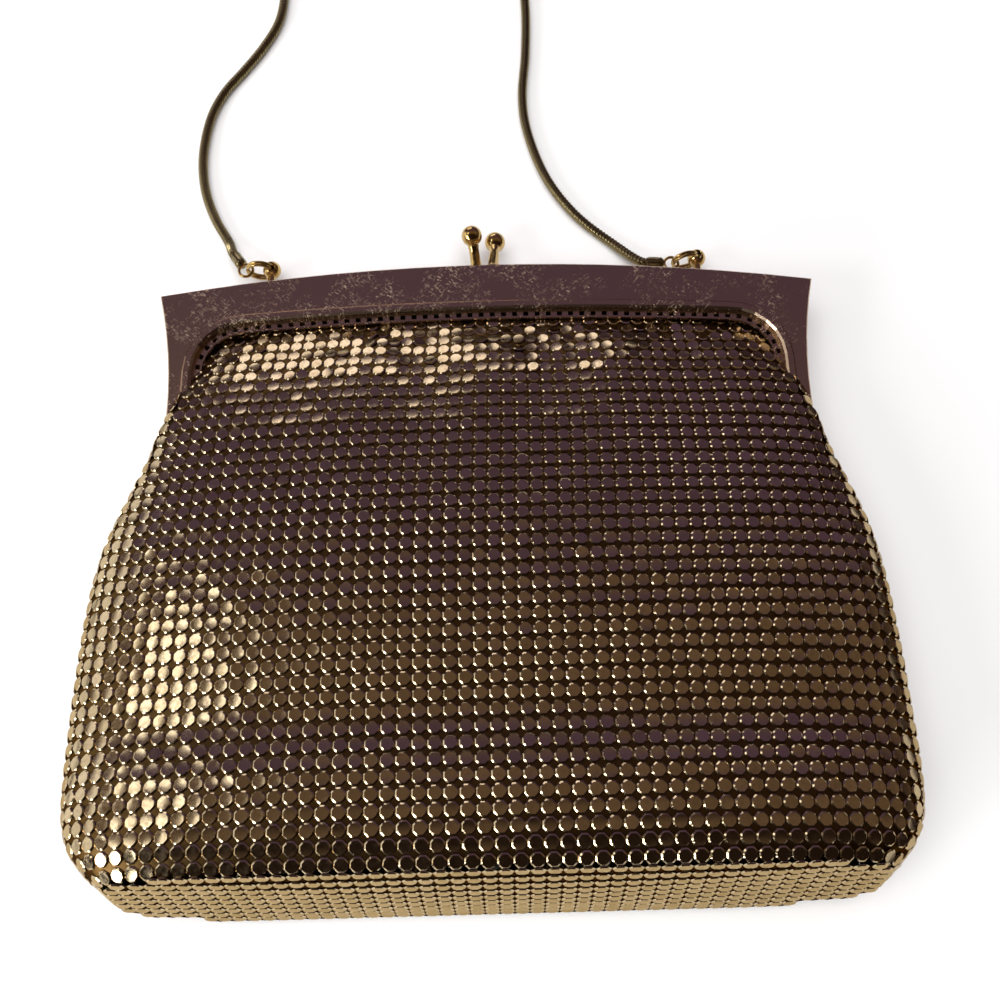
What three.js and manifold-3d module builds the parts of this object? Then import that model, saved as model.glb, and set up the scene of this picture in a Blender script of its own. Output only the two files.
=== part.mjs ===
// A metal mesh evening purse with a kiss-lock frame and a snake-chain handle, lying on its back.
// Millimetres. X runs across the purse, +Y from the boxed bottom towards the frame, +Z up.
// The origin is the middle of the back panel, on the surface that the purse lies on.
import * as THREE from 'three';
import { mergeVertices } from 'three/addons/utils/BufferGeometryUtils.js';
import Module from 'manifold-3d';

const wasm = await Module();
wasm.setup();

// Clearance between pieces that touch on the real purse
const gap = 0.3;

// Frame: two pressed brass jaws, each a flat face plate with a rim folded back around it
const frameWidth = 170.8;      // corner to corner
const frameDepth = 13.4;     // over both jaws
const jawSplit = 0.4;        // between the two rims
const sheet = 1.1;           // thickness of the face plate and the rim
const crownHeight = 11.4;    // face plate above the bead, at the middle
const topArch = 6.8;         // rise of the top edge from its corners to its middle
const legWaist = 162.6;      // width over the legs where they are narrowest
const waistDrop = 32;        // from the top corners down to that narrowest place
const legReach = 46;         // from the top edge's middle down to the ends of the legs
const plateEase = 0.3;       // small bevel around the face plate
const legFace = 3.7;         // width of a leg's face plate at that place
const innerCorner = 15;      // radius of the upper inner corners
const innerArch = 2.1;       // rise of the inner edge to its middle
const beadWidth = 1.75;      // raised bead along the inner edge
const beadRise = 0.5;
const beadFoot = 1.6;        // the bead's root below the plate's face
const stripWidth = 2.2;      // perforated strip inside the bead, where the mesh is hooked on
const stripSheet = 0.8;
const stripRecess = 1.2;     // below the face plate's face
const stripEnd = 12;         // the strip stops this far above the legs' ends
const holePitch = 2.9;       // perforations
const holeAlong = 1.3;
const holeAcross = 1.2;

// Hinges at the legs' ends
const hingeUp = 3;           // pin above the leg's end
const tabRadius = 2.6;
const pinRadius = 0.9;
const pinHead = 1.7;
const pinHeadHeight = 0.5;

// Mesh bag: a shell with the outline of the real bag of linked plates
const bagLength = 137;       // front panel from its mouth to the crease at the bottom
const bagWidth = 191.2;
const bagDepth = 31.4;
const bagWall = 1.4;
const mouthTuck = 2.8;       // the mouth's edge sits this far up behind the strip
const bottomLean = 0.37;     // the bottom panel leans out by this share of its depth
const bottomPuff = 1.3;
const backSag = 0.6;         // flattening of the back panel on the surface
const backRound = 3;         // exponent of the back's curve
const widestShare = 0.41;    // height of the widest place as a share of the depth
const rippleHeight = 0.45;   // soft gathers below the frame
const bagDrift = 1.4;        // the full part of the bag lies this far to the left of the frame's middle

// Clasp knobs, handle studs, double jump rings, end caps and chain
const knobBall = 2.8;
const knobReach = 11.9;      // ball's centre beyond the top edge
const knobStem = 1.6;
const knobNeck = 0.95;
const pegRadius = 0.8;
const studSpacing = 116.4;   // between the two handle studs
const studShift = -0.4;      // the pair sits a little to the left of the middle
const studBall = 2.45;       // drilled through for the jump rings
const studBore = 1.2;
const studReach = 8.6;       // ball's centre beyond the top edge
const studPost = 0.9;
const studHeight = 4.4;      // above the back jaw's face
const ringRadius = 3.5;
const ringWire = 0.42;
const ringTurn = 1.5 * ringWire;   // between the two turns of a double ring, which touch
const ringSides = 14;
const eyeRadius = 1.9;
const eyeWire = 0.4;
const capRadius = 1.6;
const capLength = 4.6;
const chainWidth = 2.4;
const chainLift = 0.05;

// The chain's route over the surface, from the left end cap to the right one (x, y)
const chainRoute = [
  [-72, 97.8], [-76.2, 105.4], [-79.7, 115.1], [-81.1, 127], [-79.5, 140.6], [-75.9, 149.4],
  [-70.7, 156.9], [-65.4, 165.2], [-61.2, 174.5], [-59.8, 185], [-60, 200], [-57.5, 217],
  [-48.5, 234], [-34, 243.5], [-17, 242.5], [-1.5, 231], [8, 214], [12.6, 196], [14, 178],
  [13.4, 160.3], [12, 144.5], [12.9, 133], [17.9, 116.3], [25.6, 103.8], [35.2, 94.4],
];
const chainSteps = 60;

// Sections of the bag from its mouth to the crease at the bottom:
// at: place along the front panel, from the mouth (0) past the legs' ends (1) to the crease (2)
// wide: width, a share of the swell from the neck (0) to bagWidth (1); below 0 narrower than the neck
// front: height of the front panel, a share of the swell from the mouth (0) to bagDepth (1)
// mid: height of the widest place, a share of the way from the frame's middle to widestShare
// lift: height of the back panel above the surface, a share of its height at the mouth
// lean: share of bottomLean
// round: exponent of the front's curve, higher is squarer
const sections = [
  { at: 0.00, wide: -0.30, front: 0.00, mid: 0.00, lift: 1.00, lean: 0.00, round: 2.5 },
  { at: 0.09, wide: -0.20, front: 0.00, mid: 0.00, lift: 1.00, lean: 0.00, round: 2.5 },
  { at: 0.25, wide: -0.06, front: 0.14, mid: 0.00, lift: 0.36, lean: 0.00, round: 2.5 },
  { at: 0.43, wide: 0.00, front: 0.25, mid: 0.00, lift: 0.00, lean: 0.00, round: 2.4 },
  { at: 0.65, wide: 0.00, front: 0.36, mid: 0.00, lift: 0.00, lean: 0.00, round: 2.2 },
  { at: 0.86, wide: 0.00, front: 0.46, mid: 0.02, lift: 0.00, lean: 0.00, round: 2.2 },
  { at: 0.99, wide: 0.01, front: 0.52, mid: 0.05, lift: 0.00, lean: 0.00, round: 2.2 },
  { at: 1.05, wide: 0.30, front: 0.57, mid: 0.30, lift: 0.00, lean: 0.00, round: 2.3 },
  { at: 1.09, wide: 0.405, front: 0.62, mid: 0.55, lift: 0.00, lean: 0.00, round: 2.5 },
  { at: 1.17, wide: 0.59, front: 0.69, mid: 0.78, lift: 0.00, lean: 0.00, round: 2.5 },
  { at: 1.26, wide: 0.795, front: 0.76, mid: 0.93, lift: 0.00, lean: 0.02, round: 2.5 },
  { at: 1.37, wide: 0.915, front: 0.81, mid: 1.00, lift: 0.00, lean: 0.06, round: 2.6 },
  { at: 1.48, wide: 0.967, front: 0.85, mid: 1.00, lift: 0.00, lean: 0.16, round: 2.7 },
  { at: 1.60, wide: 0.99, front: 0.865, mid: 1.00, lift: 0.00, lean: 0.32, round: 2.8 },
  { at: 1.69, wide: 1.00, front: 0.87, mid: 1.00, lift: 0.00, lean: 0.47, round: 2.9 },
  { at: 1.735, wide: 0.995, front: 0.90, mid: 1.00, lift: 0.00, lean: 0.57, round: 3.0 },
  { at: 1.78, wide: 0.975, front: 0.97, mid: 1.00, lift: 0.00, lean: 0.66, round: 3.2 },
  { at: 1.84, wide: 0.935, front: 1.00, mid: 1.00, lift: 0.00, lean: 0.78, round: 3.6 },
  { at: 1.90, wide: 0.845, front: 1.00, mid: 1.00, lift: 0.00, lean: 0.88, round: 4.2 },
  { at: 1.947, wide: 0.67, front: 1.00, mid: 1.00, lift: 0.00, lean: 0.95, round: 5.0 },
  { at: 1.98, wide: 0.45, front: 0.98, mid: 1.00, lift: 0.30, lean: 0.99, round: 6.0 },
  { at: 2.00, wide: 0.26, front: 0.93, mid: 1.00, lift: 0.95, lean: 1.00, round: 6.0 },
];
// The bottom panel, from its rim to its middle: share of the rim's size
const bottomRings = [0.96, 0.86, 0.66, 0.34];
const bagAround = 32;

// Places worked out from the sizes above
const mouthY = bagLength / 2;
const stripInner = mouthY - mouthTuck;
const plateInner = stripInner + stripWidth + beadWidth;
const crownY = plateInner + crownHeight;
const cornerX = frameWidth / 2;
const cornerY = crownY - topArch;
const legX = legWaist / 2;
const innerWidth = legWaist - 2 * legFace;   // clear width between the legs' face plates
const waistY = cornerY - waistDrop;
const legEnd = crownY - legReach;
const neckLength = mouthY - legEnd;       // the part of the bag between the legs
const frameTop = frameDepth + beadRise;   // the back jaw lies on its bead
const frameMid = frameTop - frameDepth / 2;
const rimFoot = frameMid + jawSplit / 2;
const stripTop = frameTop - stripRecess;
const stripUnder = stripTop - stripSheet;
const tabOuter = legX - sheet;
const tabInner = tabOuter - gap - sheet;
const hingeY = legEnd + hingeUp;
const mouthFront = stripUnder - gap;
const mouthBack = 2 * frameMid - mouthFront;
const neckHalf = tabInner - 2 * gap;
const studZ = beadRise + studHeight;
const chainHeight = chainWidth / 2 + chainLift;

const steel = (color, roughness) =>
  new THREE.MeshStandardMaterial({ color, roughness, metalness: 1 });
const frameGold = steel('#8a6f4a', 0.35);
const meshGold = steel('#7d6238', 0.3);
const brightGold = steel('#c9a458', 0.2);
const chainGold = steel('#8f7a48', 0.3);

// Solids and booleans
function toSolid(geometry) {
  const bare = geometry.clone();
  bare.deleteAttribute('normal');
  bare.deleteAttribute('uv');
  const merged = mergeVertices(bare, 1e-5);
  const solid = new wasm.Mesh({
    numProp: 3,
    vertProperties: new Float32Array(merged.attributes.position.array),
    triVerts: new Uint32Array(merged.index.array),
  });
  return new wasm.Manifold(solid);
}

function toGeometry(solid) {
  const mesh = solid.getMesh();
  const geometry = new THREE.BufferGeometry();
  geometry.setAttribute('position', new THREE.BufferAttribute(mesh.vertProperties, 3));
  geometry.setIndex(new THREE.BufferAttribute(mesh.triVerts, 1));
  geometry.computeVertexNormals();
  return geometry;
}

function joined(parts) {
  return parts.map(toSolid).reduce((sum, part) => sum.add(part));
}

function extruded(outline, from, to, ease = 0) {
  const shape = new THREE.Shape(outline);
  const depth = to - from - 2 * ease;
  const options = { depth, bevelEnabled: ease > 0, bevelThickness: ease, bevelSize: ease };
  const geometry = new THREE.ExtrudeGeometry(shape, { ...options, bevelOffset: -ease, bevelSegments: 1 });
  return geometry.translate(0, 0, from + ease);
}

function box(low, high) {
  const size = high.map((value, axis) => value - low[axis]);
  const geometry = new THREE.BoxGeometry(...size);
  return geometry.translate(...low.map((value, axis) => value + size[axis] / 2));
}

// A cylinder between two points, open to a different radius at each end
function rod(start, end, startRadius, endRadius, sides = 12) {
  const axis = end.clone().sub(start);
  const geometry = new THREE.CylinderGeometry(endRadius, startRadius, axis.length(), sides);
  const turn = new THREE.Quaternion().setFromUnitVectors(new THREE.Vector3(0, 1, 0), axis.clone().normalize());
  geometry.applyQuaternion(turn);
  return geometry.translate(...start.clone().add(end).multiplyScalar(0.5).toArray());
}

function ball(centre, radius) {
  return new THREE.SphereGeometry(radius, 12, 8).translate(...centre.toArray());
}

// Frame outlines
const topY = (x, inset = 0) => crownY - inset - topArch * (x / cornerX) ** 2;
const sideX = (y, inset = 0) =>
  legX - inset + (cornerX - legX) * Math.max(0, (y - waistY) / waistDrop) ** 2;

// Outer edge of a jaw from the left leg's end over the top to the right leg's end
function outerEdge(inset = 0) {
  const half = [];
  const cornerInset = cornerX - inset;
  const top = topY(cornerInset, inset);
  for (let step = 0; step <= 7; step++) {
    const y = legEnd + ((top - legEnd) * step) / 7;
    half.push([sideX(y, inset), y]);
  }
  for (let step = 8; step > 0; step--) {
    const x = (cornerInset * (step - 0.2)) / 8;
    half.push([x, topY(x, inset)]);
  }
  const right = half.map(([x, y]) => new THREE.Vector2(x, y));
  const left = half.map(([x, y]) => new THREE.Vector2(-x, y)).reverse();
  return [...left.reverse(), new THREE.Vector2(0, topY(0, inset)), ...right.reverse()];
}

// Inner edge, a U with round upper corners; offset moves it towards the bag
function innerEdge(offset = 0, end = legEnd) {
  const halfWidth = innerWidth / 2 - offset;
  const radius = innerCorner - offset;
  const flat = halfWidth - radius;
  const half = [[halfWidth, end]];
  for (let step = 0; step <= 6; step++) {
    const angle = (Math.PI / 2) * (step / 6);
    const corner = plateInner - innerArch - innerCorner;
    half.push([flat + radius * Math.cos(angle), corner + radius * Math.sin(angle)]);
  }
  for (let step = 5; step > 0; step--) {
    const share = step / 6;
    half.push([flat * share, plateInner - offset - innerArch * share ** 2]);
  }
  const right = half.map(([x, y]) => new THREE.Vector2(x, y));
  const left = half.map(([x, y]) => new THREE.Vector2(-x, y));
  return [...left, new THREE.Vector2(0, plateInner - offset), ...right.reverse()];
}

const band = (outer, inner) => [...outer, ...inner.slice().reverse()];

// Square holes in the strip, evenly spaced along its middle line
function stripHoles() {
  const line = innerEdge(beadWidth + stripWidth / 2, plateInner - innerArch - innerCorner);
  const path = new THREE.CurvePath();
  for (let i = 1; i < line.length; i++) path.add(new THREE.LineCurve(line[i - 1], line[i]));
  const length = path.getLength();
  const count = Math.floor(length / holePitch);
  const holes = [];
  for (let i = 0; i < count; i++) {
    const place = (i + 0.5) / count;
    const point = path.getPointAt(place);
    const along = path.getTangentAt(place);
    const hole = new THREE.BoxGeometry(holeAlong, holeAcross, 4 * stripSheet);
    hole.rotateZ(Math.atan2(along.y, along.x));
    holes.push(hole.translate(point.x, point.y, stripUnder + stripSheet / 2));
  }
  return holes;
}

// One jaw with its face up; outerTabs says whether its hinge tabs lie outside the other jaw's
function jaw(outerTabs, pegs) {
  const inside = beadWidth + stripWidth;
  const plate = extruded(band(outerEdge(), innerEdge(-gap)), frameTop - sheet, frameTop, plateEase);
  const rim = extruded(band(outerEdge(), outerEdge(sheet)), rimFoot, frameTop - sheet / 2);
  const beadBand = band(innerEdge(-2 * gap), innerEdge(beadWidth));
  const bead = extruded(beadBand, frameTop - beadFoot, frameTop + beadRise, beadRise);
  const stripBand = band(innerEdge(beadWidth / 2, legEnd + stripEnd), innerEdge(inside, legEnd + stripEnd));
  const strip = extruded(stripBand, stripUnder, stripTop);
  let solid = joined([plate, rim, bead, strip]);
  const tabLow = outerTabs ? tabOuter : tabInner;
  const inward = outerTabs ? tabOuter - gap : tabOuter;
  for (const side of [-1, 1]) {
    const span = (from, to) => [Math.min(side * from, side * to), Math.max(side * from, side * to)];
    // Room for the other jaw's tab, then this jaw's own tab
    const [cutLow, cutHigh] = outerTabs ? span(tabInner - gap, inward) : span(inward - gap / 2, legX + 1);
    const reach = tabRadius + gap;
    const room = box([cutLow, legEnd - 1, frameMid - reach - 1], [cutHigh, hingeY + reach, frameMid + reach]);
    solid = solid.subtract(toSolid(room));
    const [tabFrom, tabTo] = span(tabLow, tabLow + sheet);
    const disc = rod(
      new THREE.Vector3(tabFrom, hingeY, frameMid),
      new THREE.Vector3(tabTo, hingeY, frameMid), tabRadius, tabRadius, 16);
    const root = box([tabFrom, hingeY - tabRadius + 0.2, frameMid],
      [tabTo, hingeY + tabRadius - 0.2, frameTop - sheet / 2]);
    const bore = rod(new THREE.Vector3(tabFrom - 1, hingeY, frameMid),
      new THREE.Vector3(tabTo + 1, hingeY, frameMid), pinRadius + gap, pinRadius + gap, 12);
    solid = solid.add(toSolid(disc)).add(toSolid(root)).subtract(toSolid(bore));
  }
  for (const hole of stripHoles()) solid = solid.subtract(toSolid(hole));
  for (const { x, z, radius } of pegs) {
    const bore = rod(new THREE.Vector3(x, topY(x) - 3 * sheet, z), new THREE.Vector3(x, topY(x) + 2, z),
      radius + gap, radius + gap, 12);
    solid = solid.subtract(toSolid(bore));
  }
  return toGeometry(solid);
}

// Clasp knobs lean past each other; studs stand straight on the back jaw
const knobs = [
  { name: 'clasp_knob_back', foot: [-2, 4.1], ball: [-3.6, 8.9] },
  { name: 'clasp_knob_front', foot: [1.9, 10.3], ball: [2.7, 5.4] },
];
const studs = [
  { name: 'left', x: studShift - studSpacing / 2, out: [-1, 0.02], heading: [-0.55, 0.83, -0.2] },
  { name: 'right', x: studShift + studSpacing / 2, out: [-1, -0.2], heading: [-0.97, 0.2, -0.2] },
];

function clasp({ foot, ball: head }) {
  const edge = crownY + gap;
  const root = new THREE.Vector3(foot[0], edge, foot[1]);
  const centre = new THREE.Vector3(head[0], crownY + knobReach, head[1]);
  const peg = rod(new THREE.Vector3(foot[0], crownY - sheet - gap, foot[1]), root, pegRadius, pegRadius);
  const collar = rod(root, new THREE.Vector3(foot[0], edge + 1, foot[1]), knobStem + 0.3, knobStem + 0.1);
  const start = new THREE.Vector3(foot[0], edge + 0.4, foot[1]);
  const stem = rod(start, centre, knobStem, knobNeck);
  return toGeometry(joined([stem, collar, peg.translate(0, 0.1, 0), ball(centre, knobBall)]));
}

const ballCentre = (x) => new THREE.Vector3(x, topY(x) + studReach, studZ);

function stud({ x }) {
  const centre = ballCentre(x);
  const foot = new THREE.Vector3(x, topY(x) - sheet - 2 * gap, studZ);
  const half = new THREE.Vector3(0, 0, studBall + 1);
  const bore = rod(centre.clone().sub(half), centre.clone().add(half), studBore, studBore, 12);
  const solid = joined([rod(foot, centre, studPost, studPost), ball(centre, studBall)]);
  return toGeometry(solid.subtract(toSolid(bore)));
}

// A ring as a closed sweep around its own axis
function ringAt(centre, axis, radius, wire, sides) {
  const ring = new THREE.TorusGeometry(radius, wire, 6, sides);
  const turn = new THREE.Quaternion().setFromUnitVectors(new THREE.Vector3(0, 0, 1), axis);
  return ring.applyQuaternion(turn).translate(...centre.toArray());
}

// Where the double ring stands in the drilled ball, and the chain's eye on the ring
function hang({ x, out: [outX, outY], heading }) {
  const out = new THREE.Vector3(outX, outY, 0).normalize();
  const axis = new THREE.Vector3(-out.y, out.x, 0);
  const boreHalf = Math.sqrt(studBall ** 2 - studBore ** 2);
  const bow = ringRadius - Math.sqrt(ringRadius ** 2 - boreHalf ** 2);
  const centre = ballCentre(x).addScaledVector(out, ringRadius - bow / 2);
  const halfTurn = ringTurn / 2 + ringWire;
  const hold = Math.sqrt((eyeRadius - eyeWire - gap) ** 2 - halfTurn ** 2) - ringWire;
  const eye = centre.clone().addScaledVector(out, ringRadius + hold);
  const direction = new THREE.Vector3(...heading).normalize();
  const capStart = eye.clone().addScaledVector(direction, eyeRadius - 0.2);
  const capEnd = capStart.clone().addScaledVector(direction, capLength);
  return { axis, centre, eye, direction, capStart, capEnd };
}

function doubleRing(place) {
  const turns = [-0.5, 0.5].map((side) =>
    ringAt(place.centre.clone().addScaledVector(place.axis, side * ringTurn), place.axis,
      ringRadius, ringWire, ringSides));
  return toGeometry(joined(turns));
}

function endCap(place) {
  const up = new THREE.Vector3(0, 0, 1);
  const eye = ringAt(place.eye, up, eyeRadius, eyeWire, 14);
  const shoulder = place.capStart.clone().addScaledVector(place.direction, 1);
  const neck = rod(place.capStart, shoulder, eyeWire + 0.3, capRadius);
  const tube = rod(shoulder.clone().addScaledVector(place.direction, -0.05), place.capEnd, capRadius, capRadius);
  return toGeometry(joined([eye, neck, tube]));
}

// The snake chain, a tube laid on the surface between the two end caps
function chain(left, right) {
  const ends = [left, right].map((place) => {
    const start = place.capEnd.clone().addScaledVector(place.direction, gap);
    return [start, start.clone().addScaledVector(place.direction, 3)];
  });
  const laid = chainRoute.map(([x, y]) => new THREE.Vector3(x, y, chainHeight));
  const points = [...ends[0], ...laid, ends[1][1], ends[1][0]];
  const route = new THREE.CatmullRomCurve3(points, false, 'centripetal');
  const section = new THREE.Shape();
  section.absarc(0, 0, chainWidth / 2, 0, 2 * Math.PI, false);
  const options = { steps: chainSteps, curveSegments: 4, bevelEnabled: false, extrudePath: route };
  return new THREE.ExtrudeGeometry(section, options);
}

// One section of the bag: points around it from the right side over the front
function bagSection(row, inset = 0) {
  const half = neckHalf + (bagWidth / 2 - neckHalf) * row.wide - inset;
  const front = mouthFront + (bagDepth - mouthFront) * row.front - inset;
  const mid = frameMid + (bagDepth * widestShare - frameMid) * row.mid;
  const back = mouthBack * row.lift;
  const sag = backSag * (1 - Math.min(1, row.lift));
  const tuck = Math.max(0, 1 - row.at / 1.2);
  const along = neckLength * Math.min(1, row.at) + (bagLength - neckLength) * Math.max(0, row.at - 1);
  const drift = bagDrift * Math.max(0, row.wide);
  const points = [];
  for (let i = 0; i < bagAround; i++) {
    const angle = (2 * Math.PI * (i + 0.5)) / bagAround;
    const side = Math.cos(angle);
    const rise = Math.sin(angle);
    const power = 2 / (rise > 0 ? row.round : backRound);
    const x = half * Math.sign(side) * Math.abs(side) ** power;
    const ripple = rippleHeight * tuck * row.front * 6 * Math.cos(x / 5.2) * Math.abs(rise);
    const height = rise > 0
      ? mid + (front - mid + ripple) * rise ** power
      : Math.max(back, mid - (mid - back + sag) * (-rise) ** power) + inset;
    const y = mouthY - along - bottomLean * row.lean * (front + inset - height);
    points.push(new THREE.Vector3(x - drift, y, height));
  }
  return points;
}

// The rows of one wall of the bag, closed at the bottom by the boxed panel;
// the hidden inner wall keeps every third row
function bagWallRows(inset) {
  const kept = sections.filter((row, i) => inset === 0 || i % 3 === 0);
  const rows = kept.map((row) => bagSection(row, inset));
  const rim = rows[rows.length - 1];
  if (inset > 0) for (const point of rim) point.y += inset;
  const middle = rim.reduce((sum, point) => sum.add(point), new THREE.Vector3()).divideScalar(rim.length);
  const puffed = (share) => bottomPuff * (1 - share ** 2);
  for (const share of bottomRings) {
    const shrunk = rim.map((point) => point.clone().sub(middle).multiplyScalar(share).add(middle));
    for (const point of shrunk) point.y -= puffed(share);
    rows.push(shrunk);
  }
  middle.y -= bottomPuff;
  return { rows, middle };
}

function bag() {
  const outer = bagWallRows(0);
  const inner = bagWallRows(bagWall);
  const positions = [];
  const triangles = [];
  const addWall = ({ rows, middle }, flip) => {
    const start = positions.length / 3;
    for (const row of rows) for (const point of row) positions.push(...point.toArray());
    positions.push(...middle.toArray());
    const face = (a, b, c) => triangles.push(...(flip ? [a, c, b] : [a, b, c]));
    for (let i = 0; i < rows.length - 1; i++) {
      for (let j = 0; j < bagAround; j++) {
        const next = (j + 1) % bagAround;
        const a = start + i * bagAround + j;
        const b = start + i * bagAround + next;
        face(a, a + bagAround, b + bagAround);
        face(a, b + bagAround, b);
      }
    }
    const last = start + (rows.length - 1) * bagAround;
    const pole = start + rows.length * bagAround;
    for (let j = 0; j < bagAround; j++) face(last + j, pole, last + ((j + 1) % bagAround));
    return start;
  };
  const outside = addWall(outer, true);
  const inside = addWall(inner, false);
  for (let j = 0; j < bagAround; j++) {
    const next = (j + 1) % bagAround;
    triangles.push(outside + next, outside + j, inside + j);
    triangles.push(outside + next, inside + j, inside + next);
  }
  const geometry = new THREE.BufferGeometry();
  geometry.setAttribute('position', new THREE.Float32BufferAttribute(positions, 3));
  geometry.setIndex(triangles);
  geometry.computeVertexNormals();
  return geometry;
}

function hingePin(side) {
  const from = side * (tabInner - gap / 2);
  const face = side * (legX + gap / 2);
  const top = side * (legX + gap / 2 + pinHeadHeight);
  const at = (x) => new THREE.Vector3(x, hingeY, frameMid);
  const shaft = rod(at(from), at(top - side * 0.1), pinRadius, pinRadius);
  return toGeometry(joined([shaft, rod(at(face), at(top), pinHead, pinHead * 0.7, 16)]));
}

const purse = new THREE.Group();

function addPiece(name, geometry, material) {
  const piece = new THREE.Mesh(geometry, material);
  piece.name = name;
  purse.add(piece);
  return piece;
}

const frontPeg = knobs.find((knob) => knob.name === 'clasp_knob_front').foot;
const backPeg = knobs.find((knob) => knob.name === 'clasp_knob_back').foot;
addPiece('jaw_front', jaw(true, [{ x: frontPeg[0], z: frontPeg[1], radius: pegRadius }]), frameGold);

// The back jaw is the same pressing turned over, so its pegs are given as they lie before the turn
const turnedPegs = [
  { x: -backPeg[0], z: 2 * frameMid - backPeg[1], radius: pegRadius },
  ...studs.map(({ x }) => ({ x: -x, z: 2 * frameMid - studZ, radius: studPost })),
];
const backJaw = addPiece('jaw_back', jaw(false, turnedPegs), frameGold);
backJaw.rotation.y = Math.PI;
backJaw.position.z = 2 * frameMid;

addPiece('hinge_pin_left', hingePin(-1), brightGold);
addPiece('hinge_pin_right', hingePin(1), brightGold);
for (const knob of knobs) addPiece(knob.name, clasp(knob), brightGold);
const hangs = studs.map(hang);
studs.forEach((place, i) => {
  addPiece(`handle_stud_${place.name}`, stud(place), brightGold);
  addPiece(`jump_ring_${place.name}`, doubleRing(hangs[i]), brightGold);
  addPiece(`chain_cap_${place.name}`, endCap(hangs[i]), brightGold);
});
addPiece('snake_chain', chain(...hangs), chainGold);
addPiece('mesh_bag', bag(), meshGold);

export default purse;
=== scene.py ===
"""A metal mesh evening purse with a kiss-lock frame and a snake-chain handle, lying on its back.

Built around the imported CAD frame: X across the purse, +Y from the boxed bottom to the frame, +Z up.
Sizes are in millimetres and become metres where a mesh is made.
"""

import math

import bpy
import numpy as np
from mathutils import Matrix, Vector


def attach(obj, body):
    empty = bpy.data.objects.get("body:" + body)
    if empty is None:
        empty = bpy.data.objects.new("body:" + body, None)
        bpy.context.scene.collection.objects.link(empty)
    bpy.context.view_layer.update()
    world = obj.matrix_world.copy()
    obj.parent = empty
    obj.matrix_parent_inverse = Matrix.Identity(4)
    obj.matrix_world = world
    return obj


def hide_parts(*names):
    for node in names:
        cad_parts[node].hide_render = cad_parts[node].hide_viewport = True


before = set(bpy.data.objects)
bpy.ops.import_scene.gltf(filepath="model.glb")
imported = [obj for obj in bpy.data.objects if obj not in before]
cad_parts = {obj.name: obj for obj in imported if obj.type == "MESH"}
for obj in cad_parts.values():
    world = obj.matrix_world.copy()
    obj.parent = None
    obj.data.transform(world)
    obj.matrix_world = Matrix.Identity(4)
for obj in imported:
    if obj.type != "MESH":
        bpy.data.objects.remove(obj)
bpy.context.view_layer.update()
mm = 0.001


# Camera: held above the purse and tipped towards the frame, as in the photograph. Its place,
# tip and roll were fitted to the purse's outline there.
camera_place = Vector((2.13, -59.98, 245.69)) * mm
camera_tip = math.radians(18.03)
camera_roll = math.radians(-1.58)

camera_data = bpy.data.cameras.new("camera")
camera_data.sensor_width = 36
camera_data.lens = 36
camera_data.clip_start = 10 * mm
camera = bpy.data.objects.new("camera", camera_data)
bpy.context.scene.collection.objects.link(camera)
tip = Matrix.Rotation(camera_tip, 4, "X")
camera.matrix_world = Matrix.Translation(camera_place) @ tip @ Matrix.Rotation(camera_roll, 4, "Z")
bpy.context.scene.camera = camera
bpy.context.scene.view_settings.view_transform = "Standard"


# Floor: a plain pale table top that the purse lies on, a board faced with matt white laminate.
# It lies just below the purse, so that no piece sinks into it.
floor_width = 6000
floor_top = -0.15


def colour(hex_value):
    """An sRGB hex value as linear red, green, blue and alpha."""
    channels = [int(hex_value[i : i + 2], 16) / 255 for i in (1, 3, 5)]
    return [c / 12.92 if c <= 0.04045 else ((c + 0.055) / 1.055) ** 2.4 for c in channels] + [1.0]


def add(tree, kind, inputs=(), **settings):
    """A node with its settings, and its sockets set to values or linked to other nodes' outputs."""
    made = tree.nodes.new(kind)
    for name, value in settings.items():
        setattr(made, name, value)
    for socket, value in dict(inputs).items():
        if isinstance(value, bpy.types.NodeSocket):
            tree.links.new(value, made.inputs[socket])
        else:
            made.inputs[socket].default_value = value
    return made


def new_material(name):
    """An empty material and its node tree."""
    material = bpy.data.materials.new(name)
    material.use_nodes = True
    material.node_tree.nodes.clear()
    return material, material.node_tree


def nothing_selected():
    """Object mode with nothing selected."""
    if bpy.context.object and bpy.context.object.mode != "OBJECT":
        bpy.ops.object.mode_set(mode="OBJECT")
    bpy.ops.object.select_all(action="DESELECT")


# White laminate, pressed matt: it hardly mirrors, and has a very faint, broad mottle
white_laminate, tree = new_material("white_laminate")
mottle = add(tree, "ShaderNodeTexNoise", {"Scale": 40, "Detail": 2})
mottle_tone = add(tree, "ShaderNodeMix", {
    "Factor": mottle.outputs["Fac"], 6: colour("#F4F4F4"), 7: colour("#F8F8F8")}, data_type="RGBA")
laminate = add(tree, "ShaderNodeBsdfPrincipled", {"Base Color": mottle_tone.outputs[2], "Roughness": 0.9})
add(tree, "ShaderNodeOutputMaterial", {"Surface": laminate.outputs[0]})

nothing_selected()
bpy.ops.mesh.primitive_plane_add(size=floor_width * mm, location=(0, 0, floor_top * mm))
floor = bpy.context.object
floor.name = "floor"
floor.data.materials.append(white_laminate)


# Light: soft boxes low around the table, and a large one overhead that lights only the matt floor,
# so that the polished plates mirror a dim room above and pale panels at its sides.
aim = Vector((0, 0, 20)) * mm


def soft_box(name, direction, distance, width, height, radiance, tint="#FFFFFF"):
    """A rectangle of even brightness, facing the purse. Sizes are in metres."""
    data = bpy.data.lights.new(name, "AREA")
    data.shape = "RECTANGLE"
    data.size, data.size_y = width, height
    data.energy = math.pi * width * height * radiance
    data.color = colour(tint)[:3]
    lamp = bpy.data.objects.new(name, data)
    bpy.context.scene.collection.objects.link(lamp)
    away = Vector(direction).normalized()
    lamp.location = aim + away * distance
    lamp.rotation_euler = away.to_track_quat("Z", "Y").to_euler()
    lamp.visible_camera = False
    return lamp


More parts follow.
